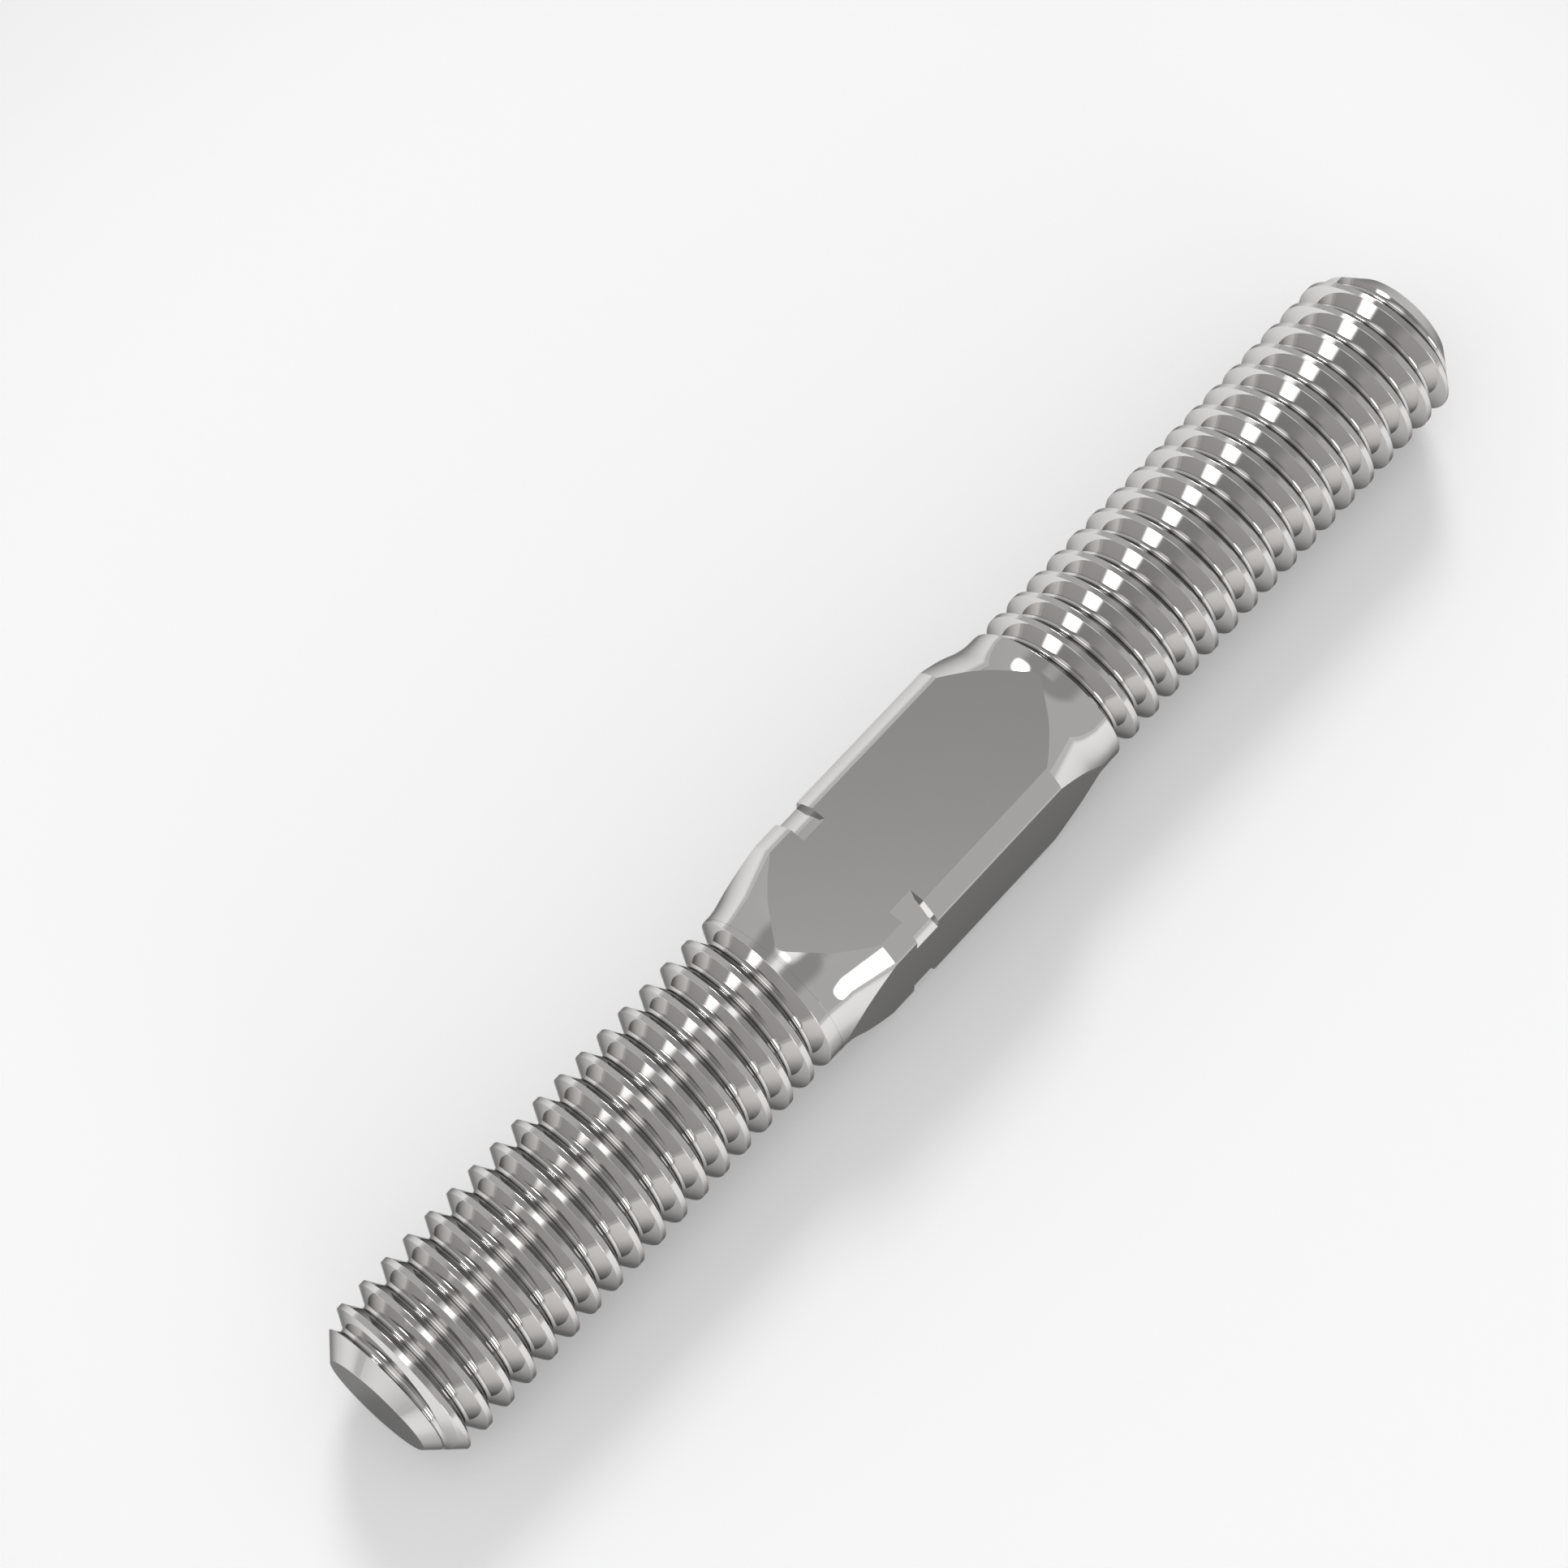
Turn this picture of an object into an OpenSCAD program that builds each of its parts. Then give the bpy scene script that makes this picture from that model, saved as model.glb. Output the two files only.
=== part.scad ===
// Turnbuckle: one turned steel bar with a left-hand thread on one end, a right-hand
// thread on the other and four wrench flats in the middle. A turned groove beside the
// middle marks the left-hand end.
// Frame: axis along X with the right-hand end at +X, two flats level, origin at the centre.

/* [Bar] */
// Length over both tips
length = 49.9; // [36:0.1:120]
// Diameter of the bar at the corners of the middle section
bar_d = 7.6; // [6.6:0.1:12]
// Distance across opposite wrench flats
across_flats = 6; // [5.5:0.1:9]
// Length of the full-diameter land in the middle
land_l = 8; // [7:0.1:20]

/* [Shoulders] */
// Slope of the shoulder cones, measured from the axis
cone_angle = 22.5; // [15:0.5:60]
// Radius of the hollow between shoulder cone and collar
fillet_r = 2.4; // [0.5:0.1:4]
// Length of the plain collar between the hollow and the thread
collar_l = 0.1; // [0.1:0.05:3]
// How far the collar stands over the thread's crest
collar_step = 0.01; // [0.005:0.005:0.1]

/* [Left-hand mark] */
// Width of the turned groove that marks the left-hand end
mark_w = 1; // [0.4:0.1:1.6]
// Diameter at the floor of the mark groove
mark_d = 7; // [6.2:0.1:7.4]
// Distance from the middle of the bar to the middle of the mark groove
mark_x = 2.5; // [1:0.1:2.8]

/* [Threads] */
// Diameter over the thread's crest
thread_d = 5.97; // [5:0.01:6.2]
// Pitch of both threads
pitch = 1; // [0.9:0.05:1.5]
// Depth of the thread
thread_depth = 0.58; // [0.3:0.01:0.6]
// Width of the flat on the thread's crest
crest_w = 0.2; // [0.05:0.01:0.22]
// Angle between the flanks of the thread
flank_angle = 60; // [40:1:60]
// Distance from the bar's middle to a crest over the top flat, in turns
thread_phase = 0.72; // [0:0.01:1]
// Length beside the collar over which the thread groove runs out
runout_l = 0.4; // [0.2:0.05:2]
// Length of the chamfer at each tip, cut at 45 degrees
tip_chamfer = 1; // [0.5:0.1:1.8]
// Straight steps in one turn of the thread
turn_steps = 30; // [18:1:36]

/* [Hidden] */

$fn = 96;
steel = [0.66, 0.65, 0.64];

// How far a cutting body runs past what it cuts
over = 0.5;

tip_x = length / 2;
bar_r = bar_d / 2;
mark_r = mark_d / 2;
crest_r = thread_d / 2;
root_r = crest_r - thread_depth;
collar_r = crest_r + collar_step;

// Shoulder: the cone runs down from the land to the collar, and a hollow of fillet_r
// touches both
cone_x = land_l / 2;
corner_x = cone_x + (bar_r - collar_r) / tan(cone_angle);
fillet_run = fillet_r * tan(cone_angle / 2);
fillet_x = corner_x + fillet_run;
hollow_x = corner_x - fillet_run * cos(cone_angle);
hollow_r = collar_r + fillet_run * sin(cone_angle);
collar_x = fillet_x + collar_l;

// Outlines of the turned middle, as [radius, axial place]: the right shoulder from the land
// out to the collar's end face, and the mark groove
SHOULDER = [
    [bar_r, cone_x],
    [hollow_r, hollow_x],
    [collar_r, fillet_x],
    [collar_r, collar_x],
    [0, collar_x]
];
MARK = [
    [bar_r, -mark_x - mark_w / 2],
    [mark_r, -mark_x - mark_w / 2],
    [mark_r, -mark_x + mark_w / 2],
    [bar_r, -mark_x + mark_w / 2]
];

// Thread form over one pitch, as [axial place, radius], from the start of the crest
flank_w = thread_depth * tan(flank_angle / 2);
FORM = [
    [-crest_w / 2, crest_r],
    [crest_w / 2, crest_r],
    [crest_w / 2 + flank_w, root_r],
    [pitch - crest_w / 2 - flank_w, root_r]
];
corners = len(FORM);

// The thread starts inside the shoulder and runs past the tip, where the chamfer trims it
start_turn = floor(collar_x / pitch - thread_phase) - 1;
end_turn = ceil((tip_x + over) / pitch - thread_phase);
thread_steps = (end_turn - start_turn) * turn_steps;

// How much of its depth the thread groove has at an axial place
function groove_share(x) = max(0, min(1, (x - collar_x) / runout_l));

// A point of the thread: a step along the helix, and a corner of the form
function thread_point(step, corner) =
    let (
        angle = 360 * step / turn_steps,
        x = (start_turn + thread_phase + step / turn_steps) * pitch + FORM[corner].x,
        r = crest_r - (crest_r - FORM[corner].y) * groove_share(x)
    ) [x, -r * sin(angle), r * cos(angle)];

// Index of that point. The corner after the last is the first corner one turn on, and past
// the last full step only first corners are kept.
function point_index(step, corner) =
    corner == corners ? point_index(step + turn_steps, 0)
    : step <= thread_steps ? step * corners + corner
    : thread_steps * (corners - 1) + step + corners - 1;

// Turns an outline of [radius, axial place] round the X axis
module turned() {
    rotate([90, 0, 90])
        rotate_extrude()
            children();
}

// Outline of the middle with the mark groove, the cones and their hollows
module middle_outline() {
    left_shoulder = [for (i = [len(SHOULDER) - 1 : -1 : 0]) [SHOULDER[i].x, -SHOULDER[i].y]];
    difference() {
        polygon(concat(left_shoulder, MARK, SHOULDER));
        for (side = [-1, 1])
            translate([collar_r + fillet_r, side * fillet_x])
                circle(fillet_r);
    }
}

// Turned middle section, milled to four flats
module middle() {
    intersection() {
        turned()
            middle_outline();
        cube([length, across_flats, across_flats], center = true);
    }
}

// Right-hand thread along +X, closed at each end by a fan round a hub on the axis
module thread_solid() {
    points = [
        for (step = [0 : thread_steps + turn_steps])
            for (corner = [0 : step <= thread_steps ? corners - 1 : 0])
                thread_point(step, corner)
    ];
    start_hub = len(points);
    end_hub = start_hub + 1;
    hubs = [for (turn = [start_turn, end_turn]) [(turn + thread_phase + 0.5) * pitch, 0, 0]];
    flanks = [
        for (step = [0 : thread_steps - 1])
            for (corner = [0 : corners - 1])
                let (
                    a = point_index(step, corner),
                    b = point_index(step + 1, corner),
                    c = point_index(step + 1, corner + 1),
                    d = point_index(step, corner + 1)
                ) each [[a, c, b], [a, d, c]]
    ];
    start_cap = [
        for (i = [0 : turn_steps - 1])
            [start_hub, point_index(i, 0), point_index(i + 1, 0)],
        for (corner = [0 : corners - 1])
            [start_hub, point_index(0, corner + 1), point_index(0, corner)]
    ];
    end_cap = [
        for (i = [0 : turn_steps - 1])
            [end_hub, point_index(thread_steps + i + 1, 0), point_index(thread_steps + i, 0)],
        for (corner = [0 : corners - 1])
            [end_hub, point_index(thread_steps, corner), point_index(thread_steps, corner + 1)]
    ];
    polyhedron(concat(points, hubs), concat(flanks, start_cap, end_cap));
}

// Outline of what the end face and the chamfer leave of the thread
module tip_outline() {
    polygon([
        [0, 0],
        [crest_r + over, 0],
        [crest_r + over, tip_x - tip_chamfer - over],
        [crest_r - tip_chamfer, tip_x],
        [0, tip_x]
    ]);
}

// Right-hand threaded end with its chamfered tip
module threaded_end() {
    intersection() {
        thread_solid();
        turned()
            tip_outline();
    }
}

module turnbuckle() {
    color(steel) {
        middle();
        threaded_end();
        mirror([1, 0, 0])
            threaded_end();
    }
}

turnbuckle();
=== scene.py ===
"""Looks of the turnbuckle: one polished steel bar lying on a white floor.

The bar is one watertight mesh built from exact surfaces: a turned and milled middle, and two
helical threads with rounded crests and roots, a run-out beside each collar and chamfered tips.
Every face corner carries the true normal of its surface, so the polish mirrors cleanly.
"""

import math

import bmesh
import bpy
import numpy as np
from mathutils import Matrix, Vector


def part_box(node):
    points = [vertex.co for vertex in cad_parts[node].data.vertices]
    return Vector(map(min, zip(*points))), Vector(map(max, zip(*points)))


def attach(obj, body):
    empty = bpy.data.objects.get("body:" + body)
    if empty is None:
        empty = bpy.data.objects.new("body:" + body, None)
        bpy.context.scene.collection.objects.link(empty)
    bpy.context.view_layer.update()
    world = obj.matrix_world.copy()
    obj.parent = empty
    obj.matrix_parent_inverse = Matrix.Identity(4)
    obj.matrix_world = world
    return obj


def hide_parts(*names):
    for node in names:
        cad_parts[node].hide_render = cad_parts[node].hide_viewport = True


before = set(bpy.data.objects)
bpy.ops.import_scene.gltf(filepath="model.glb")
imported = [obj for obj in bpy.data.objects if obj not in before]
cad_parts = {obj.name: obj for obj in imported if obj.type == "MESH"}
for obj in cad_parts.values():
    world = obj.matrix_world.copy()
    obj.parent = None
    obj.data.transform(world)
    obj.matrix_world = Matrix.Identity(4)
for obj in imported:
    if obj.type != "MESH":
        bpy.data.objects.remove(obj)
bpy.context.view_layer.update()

MM = 0.001
RIGHT, UP = Vector((1, 0, 0)), Vector((0, 0, 1))

# Sizes of the bar, as in the CAD source: it lies along X with its middle at the origin
low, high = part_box("turnbuckle")
TIP_X = high.x
FLAT_Z = high.z
BAR_R = 3.8 * MM
LAND_X = 4 * MM
CONE_ANGLE = math.radians(22.5)
HOLLOW_R = 2.4 * MM
COLLAR_L = 0.1 * MM
COLLAR_STEP = 0.01 * MM
MARK_R = 3.5 * MM
MARK_X = (-3 * MM, -2 * MM)
CREST_R = 2.985 * MM
PITCH = 1 * MM
THREAD_DEPTH = 0.58 * MM
CREST_W = 0.2 * MM
FLANK_ANGLE = math.radians(30)
THREAD_PHASE = 0.72
TIP_CHAMFER = 1 * MM

# Sizes that follow from them
COLLAR_R = CREST_R + COLLAR_STEP
CORNER_X = LAND_X + (BAR_R - COLLAR_R) / math.tan(CONE_ANGLE)
HOLLOW_X = CORNER_X + HOLLOW_R * math.tan(CONE_ANGLE / 2)
COLLAR_X = HOLLOW_X + COLLAR_L

# How far the middle of a thread groove is beyond the collar where the groove begins, and where
# it reaches its full depth
RUNOUT = (0.1 * MM, 0.45 * MM)

# Edges that a tool or a tumbler has broken
CREST_ROUND = 0.02 * MM
TIP_ROUND = 0.05 * MM

# Steps of the mesh: round one turn of thread, round a quarter of the middle, and along profiles
TURN_STEPS = 96
QUADRANT_STEPS = 28
ROOT_STEPS = 10
ROUND_STEPS = 3
HOLLOW_STEPS = 14
CONE_STEPS = 14

# Points this close are one point, shorter edges than this are closed, and a normal shorter than
# this has no direction
WELD = 1e-9
SHORTEST_EDGE = 3e-8
SHORTEST_NORMAL = 1e-9

# Corner attribute that carries the surface normals through the booleans
NORMALS = "surface_normal"

# Steel: the noise of the turning lines, and of the haze in the polish
LINES_NOISE = {"Scale": 26000.0, "Detail": 3.0, "Roughness": 0.6}
HAZE_NOISE = {"Scale": 900.0, "Detail": 5.0, "Roughness": 0.62}
# Its colours, and how far the haze and the height over the root go from the first to the second;
# the darker first colour is painted shade in the roots, and also the dark end of the haze
ROOT_SHADE_AND_HAZE_COLOUR = (0.745, 0.728, 0.718, 1)
CREST_COLOUR = (0.795, 0.78, 0.771, 1)
HAZE_TONE = 0.3
PAINTED_SHADE_TONE = 0.7
# How rough the haze and the lines make it, and how deep the lines are
HAZE_BLUR = 0.05
LINES_BLUR = 0.04
BUMP_STRENGTH = 0.03
BUMP_DEPTH = 0.002 * MM
# How much of its shine it keeps where it is seen almost edge on
EDGE_TINT = (0.27, 0.27, 0.27, 1)

# Floor: its width, its colours, the distances from the bar where one fades into the other, which
# paints a pool of light round the bar and painted shade far from it, and the light that is
# added where the camera or the steel sees it
FLOOR_SIZE = 4
FLOOR_WHITE = (0.93, 0.93, 0.93, 1)
FLOOR_PAINTED_SHADE = (0.45, 0.45, 0.45, 1)
PAINTED_POOL_FADE = (30 * MM, 80 * MM)
FLOOR_ROUGHNESS = 0.9
FLOOR_LIFT = 0.27

# Studio, seen from the bar: the level of its walls, and the glow of the left wall with its
# direction, how tightly it holds and how much it adds
WALL_LEVEL = 0.47
WALL_GLOW = ((-0.95, 0.2, 0.25), 6.0, 0.4)
# Softboxes and a dark ceiling with rounded corners: the direction of their middle, half their
# width and height in degrees, their soft edge as a share of that, and what they add to the walls
SOFTBOXES = {
    "ceiling": ((0, 0, 1), (43, 43), 0.18, -0.17),
    "overhead": ((-0.203, 0.035, 1), (25, 14.5), 0.4, 0.7),
    "overhead_strip": ((0.158, 0, 1), (5.5, 8), 0.3, 0.5),
    "far_side": ((0.551, 0.519, 0.653), (10.5, 10.5), 0.3, 2.2),
    "key": ((0.551, 0.519, 0.653), (7.2, 7.2), 0.3, 14.0),
    "low_front": ((-0.322, -0.934, 0.156), (15, 11), 0.1, 2.5),
}
# Power of their outline: 2 is an ellipse, and more is squarer
SOFTBOX_CORNER = 3.0

# Camera fitted to the photograph, whose size and places are in pixels
PHOTO_SIZE = 1932
FOCAL_PX = 6583
BAR_PX = (1117.6, 1038.95)
AZIMUTH = math.radians(-48.28)
ELEVATION = math.radians(68.9)
DISTANCE = 172.4 * MM
SENSOR = 36
CLIP = (1 * MM, 2 * FLOOR_SIZE)


class Skin:
    """Grids of points with their surface normals, welded into one closed mesh."""

    def __init__(self):
        self.points, self.normals, self.faces = [], [], []
        self.size = 0

    def grid(self, points, normals):
        """Adds a grid of points as quads, wound to face along its normals."""
        points, normals = np.broadcast_arrays(points, normals)
        rows, columns = points.shape[:2]
        index = np.arange(rows * columns).reshape(rows, columns)
        quads = np.stack([index[:-1, :-1], index[1:, :-1], index[1:, 1:], index[:-1, 1:]], axis=-1)
        quads = quads.reshape(-1, 4)
        flat, facing = points.reshape(-1, 3), normals.reshape(-1, 3)
        first, second, third, fourth = (flat[corner] for corner in quads.T)
        across = np.cross(third - first, fourth - second)
        inward = (across * facing[quads].sum(axis=1)).sum(axis=1) < 0
        quads[inward] = quads[inward, ::-1]
        self.points.append(flat)
        self.normals.append(facing)
        self.faces.append(quads + self.size)
        self.size += len(flat)

    def build(self, name):
        """One object of all grids, with the normals kept in a corner attribute."""
        points, normals = np.concatenate(self.points), np.concatenate(self.normals)
        keys = np.round(points / WELD).astype(np.int64)
        _, first, welded = np.unique(keys, axis=0, return_index=True, return_inverse=True)
        welded = welded.reshape(-1)
        faces, corners = [], []
        for quad in np.concatenate(self.faces):
            ring = [c for i, c in enumerate(quad) if welded[c] != welded[quad[i - 1]]]
            if len({welded[c] for c in ring}) > 2:
                faces.append([int(welded[c]) for c in ring])
                corners.extend(ring)
        mesh = bpy.data.meshes.new(name)
        mesh.from_pydata(points[first].tolist(), [], faces)
        hint = mesh.attributes.new(NORMALS, "FLOAT_VECTOR", "CORNER")
        hint.data.foreach_set("vector", normals[corners].astype(np.float32).ravel())
        piece = bpy.data.objects.new(name, mesh)
        bpy.context.scene.collection.objects.link(piece)
        return piece


def turned(x, r, angle):
    """Points at a radius round the X axis; angle 0 is up, and turns towards -Y."""
    return np.stack(np.broadcast_arrays(x, -r * np.sin(angle), r * np.cos(angle)), axis=-1)


def arc(centre_x, centre_r, radius, start, end, steps):
    """Profile points and normals on an arc; the angles are from the radial direction towards +X."""
    turn = np.linspace(start, end, steps + 1)
    outward = np.stack([np.sin(turn), np.cos(turn)], axis=-1)
    return np.array([centre_x, centre_r]) + radius * outward, outward


def line(start, end, steps=1):
    """Profile points on a straight run that goes towards +X, and its outward normal."""
    start, end = np.array(start), np.array(end)
    share = np.linspace(0, 1, steps + 1)[:, None]
    along = (end - start) / np.linalg.norm(end - start)
    return start + share * (end - start), np.tile([-along[1], along[0]], (steps + 1, 1))


def mirrored(run):
    """The same profile run on the other side of the bar's middle."""
    points, outward = run
    return points[::-1] * (-1, 1), outward[::-1] * (-1, 1)


def with_station(run, x):
    """Adds the hollow's point at an axial place, so that the flats end in a clean tip."""
    points, outward = run
    drop = math.asin((HOLLOW_X - x) / HOLLOW_R)
    new = np.array([[x, COLLAR_R + HOLLOW_R * (1 - math.cos(drop))]])
    place = np.searchsorted(points[:, 0], x)
    facing = np.array([[math.sin(drop), math.cos(drop)]])
    return np.insert(points, place, new, axis=0), np.insert(outward, place, facing, axis=0)


def shoulder_runs():
    """Profile of the right shoulder: cone, hollow and collar."""
    hollow, outward = arc(HOLLOW_X, COLLAR_R + HOLLOW_R, -HOLLOW_R, CONE_ANGLE, 0, HOLLOW_STEPS)
    apex_x = HOLLOW_X - math.sqrt(HOLLOW_R**2 - (COLLAR_R + HOLLOW_R - FLAT_Z) ** 2)
    return [
        line((LAND_X, BAR_R), hollow[0], CONE_STEPS),
        with_station((hollow, outward), apex_x),
        line((HOLLOW_X, COLLAR_R), (COLLAR_X, COLLAR_R)),
    ]


def middle_solid():
    """Turned middle with its shoulders and mark groove, milled to four flats."""
    right = shoulder_runs()
    runs = [mirrored(run) for run in reversed(right)]
    runs += [
        line((-LAND_X, BAR_R), (MARK_X[0], BAR_R)),
        line((MARK_X[0], BAR_R), (MARK_X[0], MARK_R)),
        line((MARK_X[0], MARK_R), (MARK_X[1], MARK_R)),
        line((MARK_X[1], MARK_R), (MARK_X[1], BAR_R)),
        line((MARK_X[1], BAR_R), (LAND_X, BAR_R)),
    ]
    runs += right
    skin = Skin()
    mark_half = math.sqrt(MARK_R**2 - FLAT_Z**2)
    share = np.linspace(0, 1, QUADRANT_STEPS + 1)
    for quarter in range(4):
        ahead = quarter * math.pi / 2
        for points, outward in runs:
            x, r = points[:, :1], points[:, 1:]
            edge = np.arccos(np.minimum(1, FLAT_Z / r))
            angle = ahead + edge + share * (math.pi / 2 - 2 * edge)
            skin.grid(turned(x, r, angle), turned(outward[:, :1], outward[:, 1:], angle))
            half = np.sqrt(np.maximum(0, r**2 - FLAT_Z**2))
            narrow = np.minimum(half, mark_half)
            across = np.concatenate([-half, -narrow, narrow, half], axis=1)
            level = turned(x, FLAT_Z, ahead) + across[..., None] * turned(0, 1, ahead + math.pi / 2)
            skin.grid(level, turned(0, 1, ahead))
    around = np.linspace(0, 2 * math.pi, 4 * QUADRANT_STEPS + 1)[:-1]
    for side in (-1, 1):
        rim = turned(side * COLLAR_X, COLLAR_R, np.append(around, 0))
        skin.grid(np.stack([rim, rim * (1, 0, 0)]), (side, 0, 0))
    return skin.build("middle")


def thread_form():
    """Profile of one pitch from crest to crest: distances along X, radii and slope angles."""
    root_r = CREST_R - THREAD_DEPTH
    flank_run = THREAD_DEPTH * math.tan(FLANK_ANGLE)
    groove = PITCH - CREST_W - 2 * flank_run
    lean = math.pi / 2 - FLANK_ANGLE
    root_round = groove / 2 / math.tan(FLANK_ANGLE)
    trim = CREST_ROUND * math.tan(lean / 2)
    crest_end = CREST_W / 2 - trim
    down = arc(crest_end, CREST_R - CREST_ROUND, CREST_ROUND, 0, lean, ROUND_STEPS)
    root = arc(PITCH / 2, root_r + root_round, -root_round, -lean, lean, ROOT_STEPS)
    up = arc(PITCH - crest_end, CREST_R - CREST_ROUND, CREST_ROUND, -lean, 0, ROUND_STEPS)
    root = root[0][::-1], root[1][::-1]
    points = np.concatenate([[[-crest_end, CREST_R]], down[0], root[0], up[0]])
    outward = np.concatenate([[[0, 1]], down[1], root[1], up[1]])
    return points[:, 0], points[:, 1], np.arctan2(outward[:, 0], outward[:, 1])


def thread_solid():
    """Right-hand thread along +X, from inside the collar to past the tip, closed at both ends."""
    form_x, form_r, lean = thread_form()
    start = math.floor(COLLAR_X / PITCH - THREAD_PHASE) - 1
    end = math.ceil(TIP_X / PITCH - THREAD_PHASE) + 1
    turn = np.arange(0, (end - start) * TURN_STEPS + 1)[:, None] / TURN_STEPS
    angle = 2 * math.pi * turn
    lead = PITCH / (2 * math.pi)
    crest = (start + THREAD_PHASE + turn) * PITCH
    x = crest + form_x
    fade_l = RUNOUT[1] - RUNOUT[0]
    share = np.clip((crest + PITCH / 2 - COLLAR_X - RUNOUT[0]) / fade_l, 0, 1)
    fade = share**2 * (3 - 2 * share)
    fade_slope = 6 * share * (1 - share) / fade_l
    depth = CREST_R - form_r
    r = CREST_R - depth * fade
    along_x, along_r = np.cos(lean), -np.sin(lean) * fade
    around_r = -depth * fade_slope * lead
    facing = np.stack(
        np.broadcast_arrays(-along_r * r, along_x * r, along_r * lead - along_x * around_r), axis=-1
    )
    facing /= np.linalg.norm(facing, axis=-1, keepdims=True)
    outward = turned(facing[..., 0], facing[..., 1], angle)
    outward = outward + facing[..., 2:] * turned(0, 1, angle + math.pi / 2)
    points = turned(x, r, angle)
    skin = Skin()
    skin.grid(points, outward)
    # Each end closes on a hub on the axis: round the last turn, and across the cut form
    for place, row, side in ((start, 0, -1), (end, len(turn) - 1, 1)):
        seam = points[: TURN_STEPS + 1, 0] if side < 0 else points[row - TURN_STEPS :, -1]
        hub = np.array([(place + THREAD_PHASE + 0.5) * PITCH, 0, 0])
        for rim, normal in ((seam, (side, 0, 0)), (points[row], turned(0, side, math.pi / 2))):
            skin.grid(np.stack([rim, np.broadcast_to(hub, rim.shape)]), normal)
    return skin.build("thread")


def tip_solid():
    """What the end face and the chamfer leave of the thread."""
    reach = CREST_R + TIP_CHAMFER
    face_r = CREST_R - TIP_CHAMFER
    quarter = math.pi / 4
    trim = TIP_ROUND * math.tan(quarter / 2)
    edge = arc(TIP_X - TIP_ROUND, face_r - trim, TIP_ROUND, quarter, 2 * quarter, ROUND_STEPS)
    runs = [
        line((LAND_X, 0), (LAND_X, reach)),
        line((LAND_X, reach), (TIP_X - 2 * TIP_CHAMFER, reach)),
        line((TIP_X - 2 * TIP_CHAMFER, reach), edge[0][0]),
        edge,
        line(edge[0][-1], (TIP_X, 0)),
    ]
    around = np.linspace(0, 2 * math.pi, 2 * TURN_STEPS + 1)
    around[-1] = 0
    skin = Skin()
    for points, outward in runs:
        skin.grid(
            turned(points[:, :1], points[:, 1:], around),
            turned(outward[:, :1], outward[:, 1:], around),
        )
    return skin.build("tip")


def combine(piece, tool, operation):
    """Applies a boolean of two closed pieces to the first and deletes the second."""
    cut = piece.modifiers.new(operation, "BOOLEAN")
    cut.operation = operation
    cut.solver = "MANIFOLD"
    cut.object = tool
    shown = piece.evaluated_get(bpy.context.evaluated_depsgraph_get())
    mesh = bpy.data.meshes.new_from_object(shown)
    piece.modifiers.clear()
    piece.data = mesh
    bpy.data.objects.remove(tool)


def mirrored_copy(piece):
    """The piece mirrored across the bar's middle, normals too."""
    mesh = piece.data.copy()
    mesh.transform(Matrix.Scale(-1, 4, (1, 0, 0)))
    mesh.flip_normals()
    values = np.zeros(3 * len(mesh.loops), np.float32)
    hint = mesh.attributes[NORMALS].data
    hint.foreach_get("vector", values)
    values[0::3] *= -1
    hint.foreach_set("vector", values)
    twin = bpy.data.objects.new(piece.name + "_twin", mesh)
    bpy.context.scene.collection.objects.link(twin)
    return twin


def drop_short_edges(mesh):
    """Closes the edges of almost no length that the booleans leave."""
    work = bmesh.new()
    work.from_mesh(mesh)
    bmesh.ops.dissolve_degenerate(work, dist=SHORTEST_EDGE, edges=work.edges)
    work.to_mesh(mesh)
    work.free()


def set_normals(mesh):
    """Takes the shading normals from the surfaces that the faces were cut from."""
    values = np.zeros(3 * len(mesh.loops), np.float32)
    mesh.attributes[NORMALS].data.foreach_get("vector", values)
    values = values.reshape(-1, 3)
    values /= np.maximum(np.linalg.norm(values, axis=1, keepdims=True), SHORTEST_NORMAL)
    mesh.attributes.remove(mesh.attributes[NORMALS])
    mesh.shade_smooth()
    mesh.normals_split_custom_set(values.tolist())


def build_bar():
    """The whole bar as one piece."""
    thread = thread_solid()
    combine(thread, tip_solid(), "INTERSECT")
    bar = middle_solid()
    twin = mirrored_copy(thread)
    combine(bar, thread, "UNION")
    combine(bar, twin, "UNION")
    bar.name = bar.data.name = "polished_bar"
    bar.data.materials.clear()
    drop_short_edges(bar.data)
    set_normals(bar.data)
    return bar


class Nodes:
    """Short calls for building a node tree."""

    def __init__(self, tree):
        self.tree = tree
        tree.nodes.clear()

    def add(self, kind, inputs=None, **settings):
        """A node with settings, and inputs given as values or as sockets to link."""
        made = self.tree.nodes.new(kind)
        for name, value in settings.items():
            setattr(made, name, value)
        for name, value in (inputs or {}).items():
            if isinstance(value, bpy.types.NodeSocket):
                self.tree.links.new(value, made.inputs[name])
            else:
                made.inputs[name].default_value = value
        return made

    def math(self, operation, *values):
        """The result of a math node."""
        return self.add("ShaderNodeMath", dict(enumerate(values)), operation=operation).outputs[0]

    def noise(self, place, settings):
        """The value of a noise texture at a place."""
        return self.add("ShaderNodeTexNoise", {"Vector": place, **settings}).outputs["Fac"]


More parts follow.
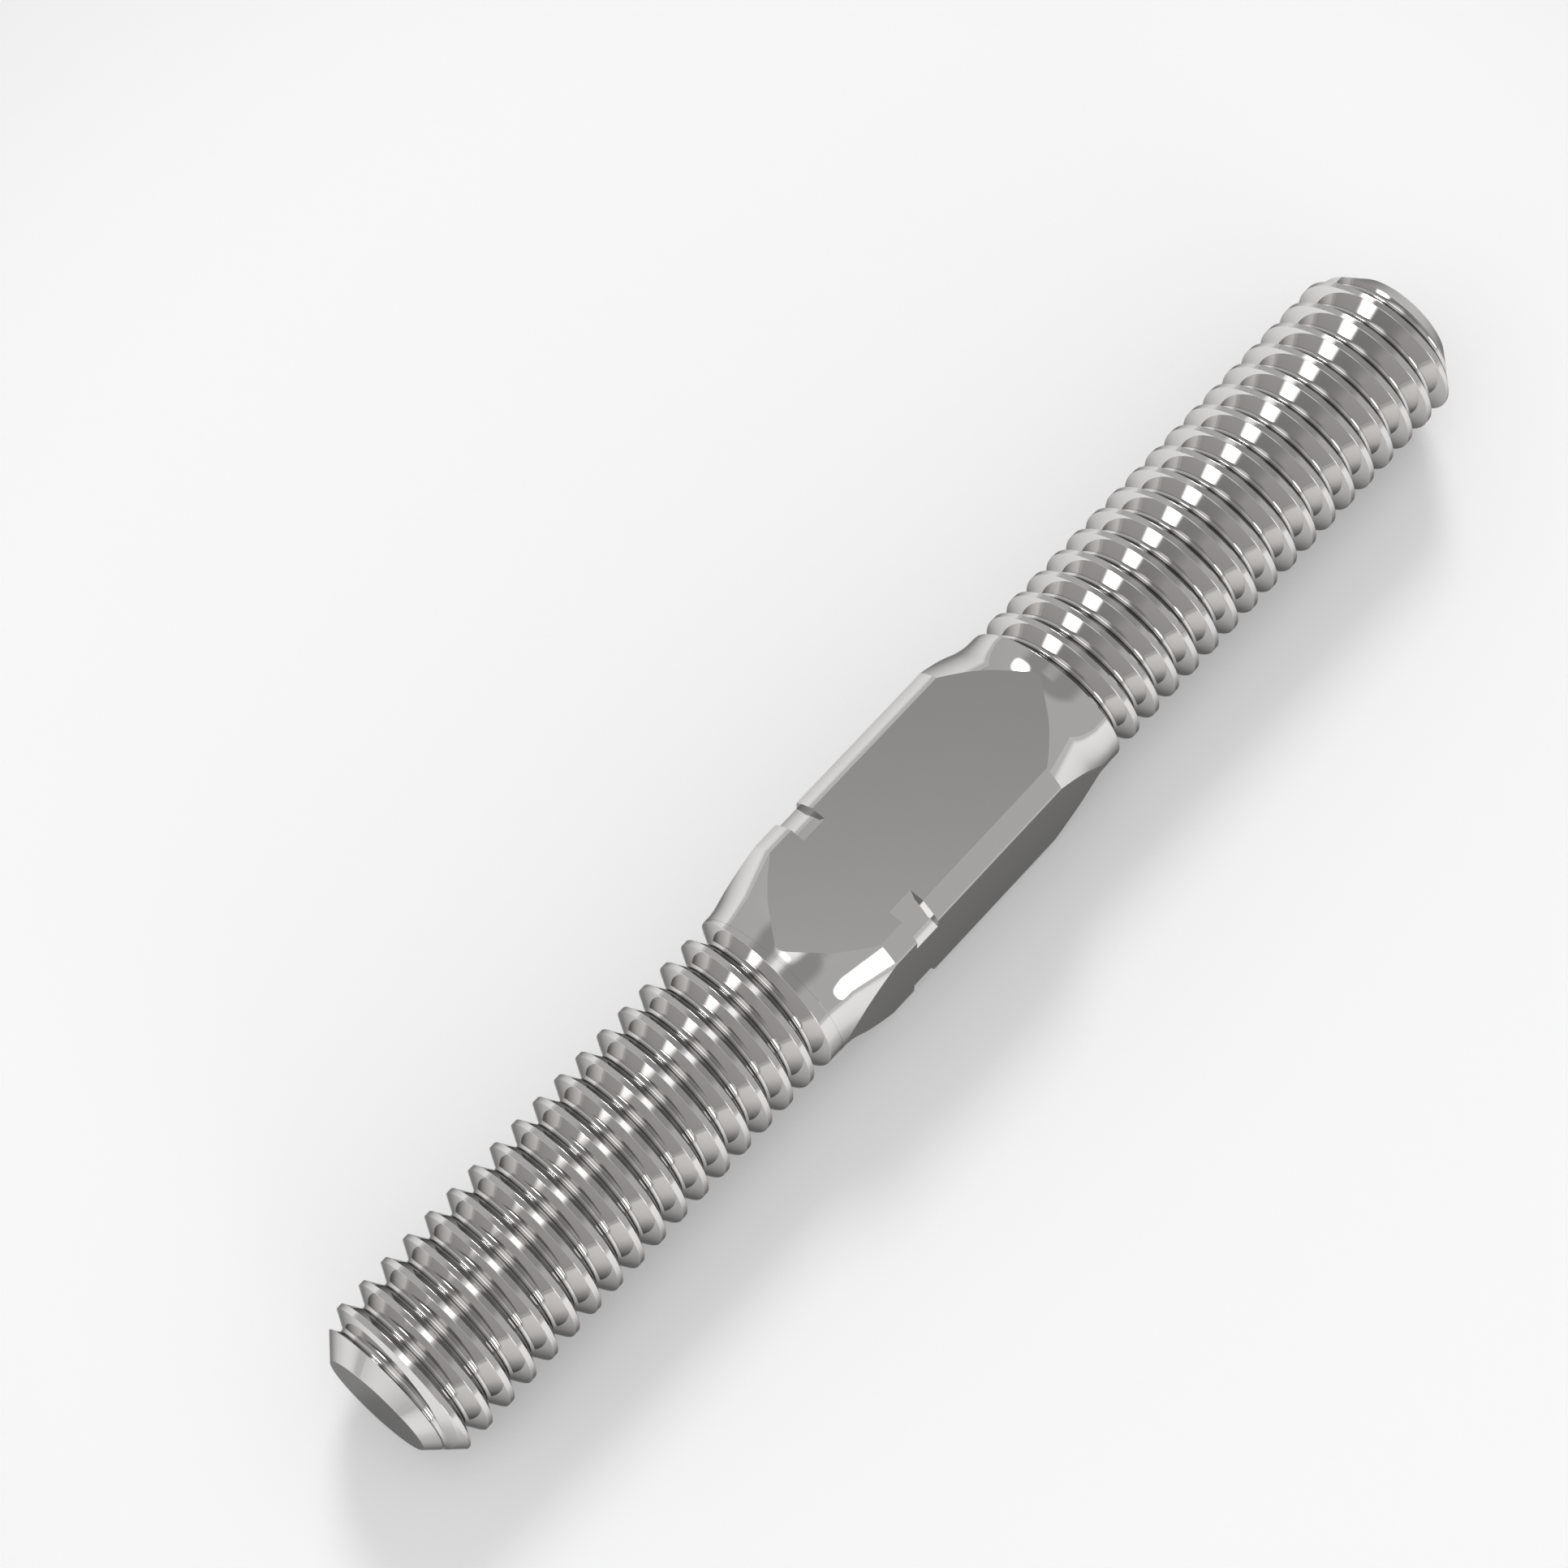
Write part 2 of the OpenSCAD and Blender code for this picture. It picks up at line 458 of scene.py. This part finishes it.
def steel_material():
    """Polished steel: faint turning lines, a fine haze in the polish and painted shade in the
    roots.
    """
    steel = bpy.data.materials.new("polished_steel")
    steel.use_nodes = True
    n = Nodes(steel.node_tree)
    place = n.add("ShaderNodeTexCoord").outputs["Object"]
    parts = n.add("ShaderNodeSeparateXYZ", {0: place}).outputs
    squares = [n.math("POWER", parts[axis], 2.0) for axis in "YZ"]
    radius = n.math("SQRT", n.math("ADD", *squares))
    lathe = n.add("ShaderNodeCombineXYZ", {"X": parts["X"], "Y": radius}).outputs[0]
    lines = n.noise(lathe, LINES_NOISE)
    haze = n.noise(place, HAZE_NOISE)
    # Painted shade: the colour darkens towards the thread's roots, where shade falls
    height = n.add(
        "ShaderNodeMapRange",
        {"Value": radius, "From Min": CREST_R - THREAD_DEPTH, "From Max": CREST_R},
    ).outputs[0]
    tone = n.math(
        "ADD", n.math("MULTIPLY", haze, HAZE_TONE), n.math("MULTIPLY", height, PAINTED_SHADE_TONE)
    )
    colour = n.add(
        "ShaderNodeMix", {"Factor": tone, "A": ROOT_SHADE_AND_HAZE_COLOUR, "B": CREST_COLOUR}, data_type="RGBA"
    ).outputs["Result"]
    blur = n.math(
        "ADD", n.math("MULTIPLY", haze, HAZE_BLUR), n.math("MULTIPLY", lines, LINES_BLUR)
    )
    bump = n.add(
        "ShaderNodeBump", {"Height": lines, "Strength": BUMP_STRENGTH, "Distance": BUMP_DEPTH}
    ).outputs[0]
    shader = n.add(
        "ShaderNodeBsdfPrincipled",
        {
            "Base Color": colour,
            "Metallic": 1.0,
            "Roughness": blur,
            "Specular Tint": EDGE_TINT,
            "Normal": bump,
        },
    )
    n.add("ShaderNodeOutputMaterial", {"Surface": shader.outputs[0]})
    return steel


def floor_material():
    """Matt floor, white round the bar and as grey as the walls far from it, a painted pool of
    light.

    It is lifted towards white only where the camera, a mirror or a clear piece sees it, so that
    the lift lights nothing.
    """
    white = bpy.data.materials.new("studio_floor")
    white.use_nodes = True
    n = Nodes(white.node_tree)
    place = n.add("ShaderNodeTexCoord").outputs["Object"]
    distance = n.add("ShaderNodeVectorMath", {0: place}, operation="LENGTH").outputs["Value"]
    # Painted pool of light: the floor's colour fades from white round the bar to grey far from it
    far = n.add(
        "ShaderNodeMapRange",
        {"Value": distance, "From Min": PAINTED_POOL_FADE[0], "From Max": PAINTED_POOL_FADE[1]},
        interpolation_type="SMOOTHSTEP",
    ).outputs[0]
    colour = n.add(
        "ShaderNodeMix", {"Factor": far, "A": FLOOR_WHITE, "B": FLOOR_PAINTED_SHADE}, data_type="RGBA"
    ).outputs["Result"]
    shader = n.add(
        "ShaderNodeBsdfPrincipled",
        {"Base Color": colour, "Roughness": FLOOR_ROUGHNESS, "Specular IOR Level": 0.0},
    )
    ray = n.add("ShaderNodeLightPath").outputs
    seen = n.math("ADD", ray["Is Camera Ray"], ray["Is Glossy Ray"])
    seen = n.math("ADD", seen, ray["Is Transmission Ray"])
    lift = n.math("MULTIPLY", n.math("MINIMUM", seen, 1.0), FLOOR_LIFT)
    glow = n.add("ShaderNodeEmission", {"Color": FLOOR_WHITE, "Strength": lift})
    both = n.add("ShaderNodeAddShader", {0: shader.outputs[0], 1: glow.outputs[0]})
    n.add("ShaderNodeOutputMaterial", {"Surface": both.outputs[0]})
    white.cycles.emission_sampling = "NONE"
    return white


def add_floor():
    """White floor under the bar, far larger than any view of it."""
    mesh = bpy.data.meshes.new("floor")
    half = FLOOR_SIZE / 2
    corners = [(x * half, y * half, low.z) for x, y in ((-1, -1), (1, -1), (1, 1), (-1, 1))]
    mesh.from_pydata(corners, [], [(0, 1, 2, 3)])
    floor = bpy.data.objects.new("floor", mesh)
    bpy.context.scene.collection.objects.link(floor)
    mesh.materials.append(floor_material())


def add_world():
    """Grey studio walls with a paler left wall, a darker ceiling and soft white lights."""
    world = bpy.data.worlds.new("studio")
    world.use_nodes = True
    bpy.context.scene.world = world
    n = Nodes(world.node_tree)
    towards = n.add("ShaderNodeTexCoord").outputs["Generated"]

    def along(axis):
        """How far the view direction goes along an axis."""
        dot = n.add("ShaderNodeVectorMath", {0: towards, 1: axis}, operation="DOT_PRODUCT")
        return dot.outputs["Value"]

    axis, power, gain = WALL_GLOW
    facing = n.math("MAXIMUM", along(Vector(axis).normalized()), 0.0)
    level = n.math("MULTIPLY_ADD", n.math("POWER", facing, power), gain, WALL_LEVEL)
    for axis, halves, edge, radiance in SOFTBOXES.values():
        middle = Vector(axis).normalized()
        across = (RIGHT - RIGHT.dot(middle) * middle).normalized()
        ahead = along(middle)
        reach = 0.0
        for side, half in zip((across, middle.cross(across)), halves):
            aside = n.math("ABSOLUTE", n.math("ARCTAN2", along(side), ahead))
            share = n.math("DIVIDE", aside, math.radians(half))
            reach = n.math("ADD", n.math("POWER", share, SOFTBOX_CORNER), reach)
        mask = n.add(
            "ShaderNodeMapRange",
            {
                "Value": n.math("POWER", reach, 1 / SOFTBOX_CORNER),
                "From Min": 1 + edge,
                "From Max": 1 - edge,
            },
            interpolation_type="SMOOTHSTEP",
        ).outputs[0]
        level = n.math("MULTIPLY_ADD", mask, radiance, level)
    light = n.add("ShaderNodeBackground", {"Color": (1, 1, 1, 1), "Strength": level})
    n.add("ShaderNodeOutputWorld", {"Surface": light.outputs[0]})


def add_camera():
    """A camera at the photograph's viewing angle."""
    right = Vector((math.cos(AZIMUTH), math.sin(AZIMUTH), 0))
    back = Vector((math.sin(AZIMUTH), -math.cos(AZIMUTH), 0)) * math.cos(ELEVATION)
    back += UP * math.sin(ELEVATION)
    up = back.cross(right)
    per_px = DISTANCE / FOCAL_PX
    aside = [(px - PHOTO_SIZE / 2) * per_px for px in BAR_PX]
    data = bpy.data.cameras.new("camera")
    data.sensor_width = SENSOR
    data.lens = FOCAL_PX / PHOTO_SIZE * SENSOR
    data.clip_start, data.clip_end = CLIP
    camera = bpy.data.objects.new("camera", data)
    camera.matrix_world = Matrix((right, up, back)).transposed().to_4x4()
    camera.location = back * DISTANCE - right * aside[0] + up * aside[1]
    bpy.context.scene.collection.objects.link(camera)
    bpy.context.scene.camera = camera


bar = build_bar()
bar.data.materials.append(steel_material())
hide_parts("turnbuckle")
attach(bar, "root")

add_floor()
add_world()
add_camera()
bpy.context.scene.view_settings.view_transform = "Standard"
# The bar throws no bright patches on the floor
bpy.context.scene.cycles.caustics_reflective = False
